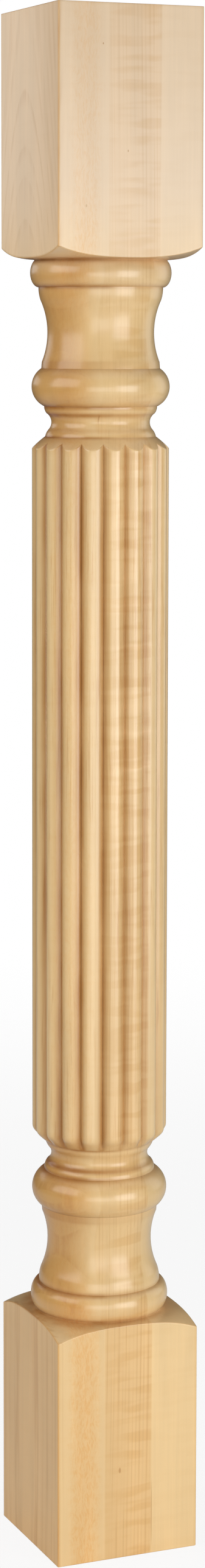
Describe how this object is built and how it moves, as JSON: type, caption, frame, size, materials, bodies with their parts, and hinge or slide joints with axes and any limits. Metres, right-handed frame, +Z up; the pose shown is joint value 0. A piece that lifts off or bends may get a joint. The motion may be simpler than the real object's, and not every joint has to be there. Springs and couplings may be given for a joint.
{
  "type": "reeded cabinet post",
  "caption": "Turned maple cabinet post with square blocks at both ends, beads and coves beside them, and a reeded round shaft.",
  "frame": {"origin": "centre of the underside of the lower block", "axes": "+Z up along the turning axis, -Y out of the front face of the blocks, +X to the right seen from the front"},
  "size_m": [0.0888, 0.0888, 0.9017],
  "materials": {
    "maple": "natural maple under a clear satin coat"
  },
  "bodies": {
    "root": {"post": "maple"}
  },
  "joints": []
}
